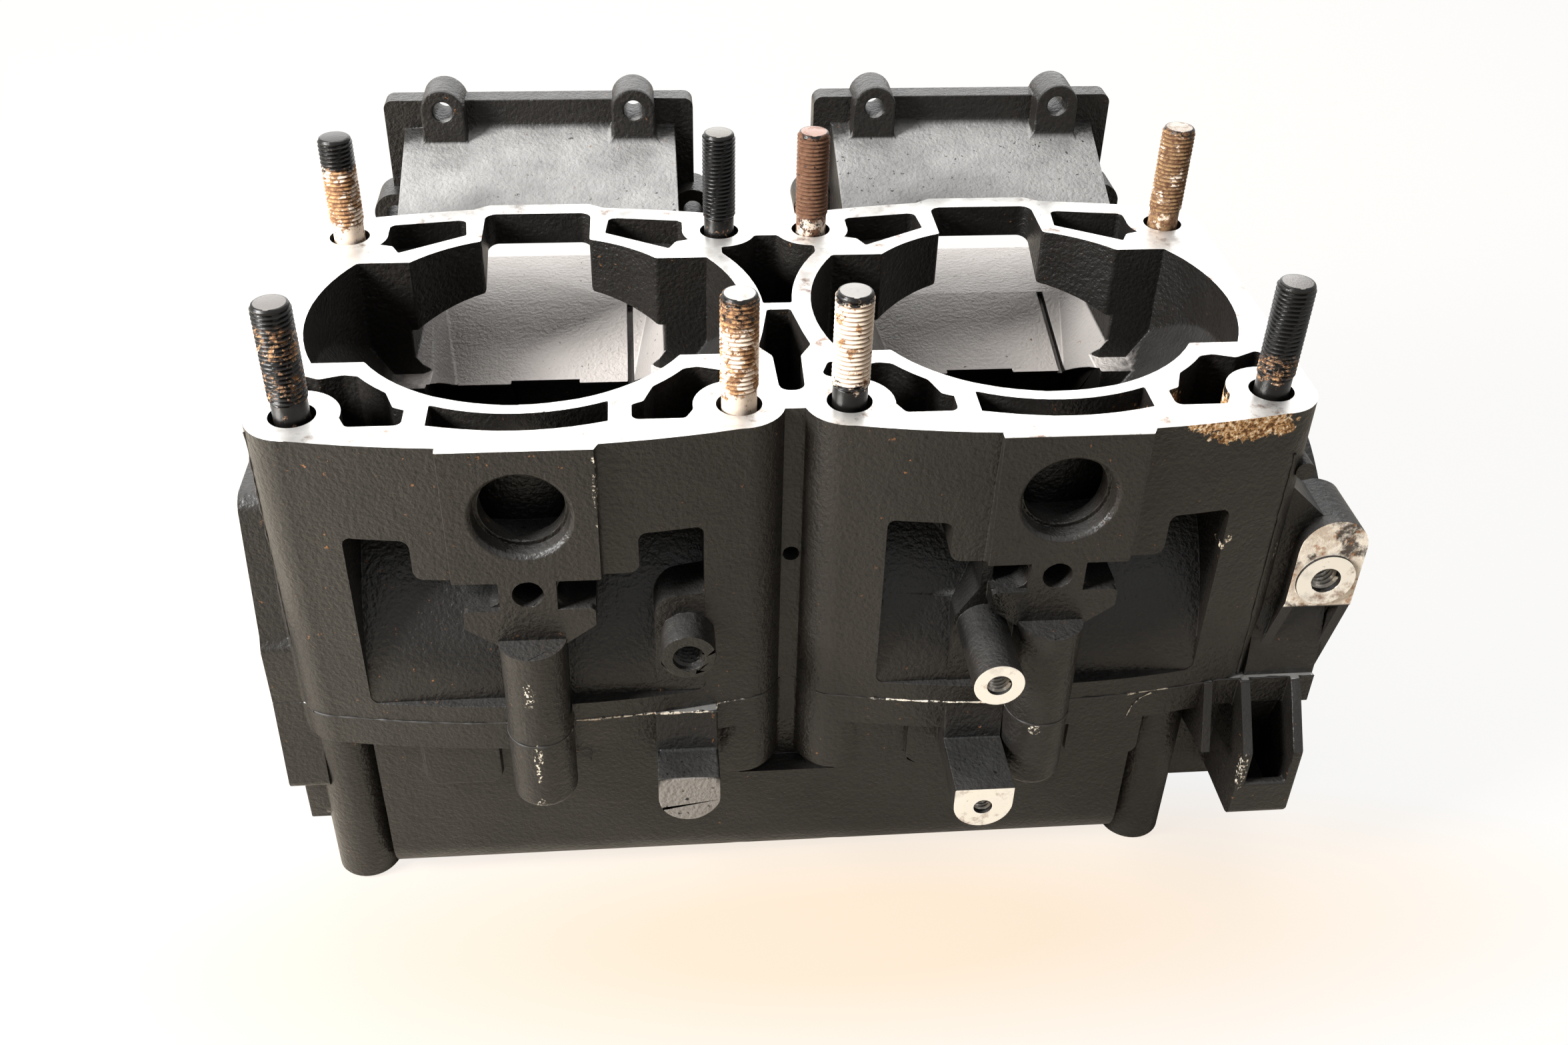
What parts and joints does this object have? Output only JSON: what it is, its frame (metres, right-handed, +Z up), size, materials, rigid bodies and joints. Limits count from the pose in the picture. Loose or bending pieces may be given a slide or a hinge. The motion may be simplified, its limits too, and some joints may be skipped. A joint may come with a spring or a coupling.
{
  "type": "engine crankcase",
  "caption": "Twin-cylinder two-stroke engine crankcase: two bolted case halves with cylinder studs, cooled deck and rear intake boxes.",
  "frame": {"origin": "on the crankshaft axis at the split between the two halves, midway between the cylinders", "axes": "+X along the crankshaft to the magneto end, +Y to the intake side, +Z up to the cylinder deck"},
  "size_m": [0.3055, 0.2025, 0.1946],
  "materials": {
    "coated_casting": "black coated casting with bare machined faces",
    "stud_steel": "worn black oxide with surface rust",
    "bolt_steel": "zinc plated",
    "dowel_steel": "ground"
  },
  "bodies": {
    "root": {"upper_case": "coated_casting", "lower_case": "coated_casting", "cylinder_studs": "stud_steel", "case_bolts": "bolt_steel", "locating_dowels": "dowel_steel"}
  },
  "joints": []
}
